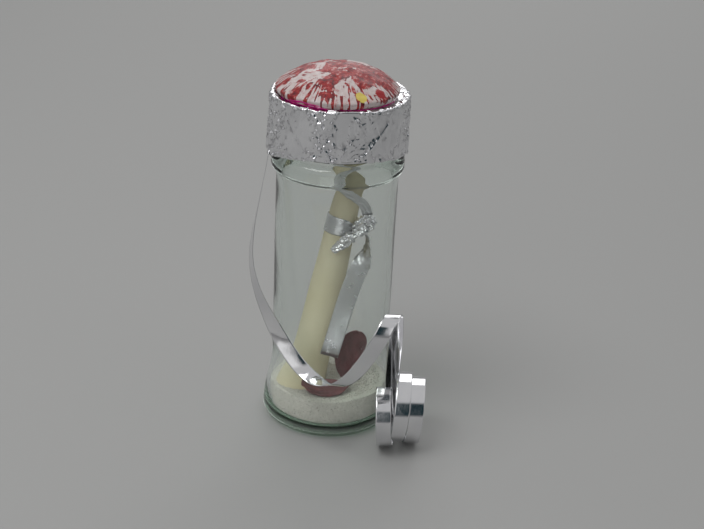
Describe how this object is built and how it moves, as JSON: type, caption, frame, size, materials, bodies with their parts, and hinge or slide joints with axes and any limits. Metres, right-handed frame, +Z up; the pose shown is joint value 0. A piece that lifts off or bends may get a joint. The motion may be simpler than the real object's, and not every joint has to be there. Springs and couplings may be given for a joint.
{
  "type": "message in a bottle",
  "caption": "Screw-top glass jar holding sand, dried petals and a rolled letter tied with ribbon, with a foil-wrapped domed cap and a curled ribbon at the neck.",
  "frame": {"origin": "middle of the flat foot that the jar stands on, on the jar's axis", "axes": "+Z up along the jar's axis, -Y towards the viewer of the picture, +X to the viewer's right"},
  "size_m": [0.0623, 0.0617, 0.1258],
  "materials": {
    "clear_glass": "clear, glossy",
    "cap_plastic": "satin moulded plastic",
    "liner_foam": "pulp board with a waxed face",
    "kitchen_foil": "creased foil",
    "pink_film": "translucent coloured film",
    "putty": "hand-pressed putty",
    "painted_shell": "hand-painted and varnished",
    "letter_paper": "plain cream paper",
    "silver_ribbon": "metallized ribbon",
    "pale_sand": "fine pale grains",
    "dried_petal": "dried petal"
  },
  "bodies": {
    "jar": {"glass_jar": "clear_glass", "sand": "pale_sand", "standing_petal": "dried_petal", "lying_petal": "dried_petal", "neck_tie": "silver_ribbon", "neck_tie_knot": "silver_ribbon", "ribbon_drop": "silver_ribbon", "ribbon_curl": "silver_ribbon"},
    "letter": {"message_scroll": "letter_paper", "scroll_band": "silver_ribbon", "scroll_knot": "silver_ribbon", "ribbon_twist": "silver_ribbon", "ribbon_tail": "silver_ribbon", "ribbon_riser": "silver_ribbon"},
    "liner": {"cap_liner": "liner_foam"},
    "cap": {"cap_shell": "cap_plastic", "foil_wrap": "kitchen_foil", "film_disc": "pink_film", "glue_pad": "putty", "painted_dome": "painted_shell"}
  },
  "joints": [
    {"name": "cap_lift", "type": "slide", "parent": "jar", "child": "liner", "axis": [0, 0, 1], "range_m": [0, 0.014]},
    {"name": "cap_turn", "type": "hinge", "parent": "liner", "child": "cap", "pos_m": [0, 0, 0.108], "axis": [0, 0, 1], "range_deg": [0, 1261]},
    {"name": "letter_slide", "type": "slide", "parent": "jar", "child": "letter", "axis": [0.174, 0.1234, 0.977], "range_m": [0, 0.004]}
  ],
  "couplings": [
    {"joint": "cap_turn", "follows": "cap_lift", "rad_per_m": 1570.8}
  ]
}
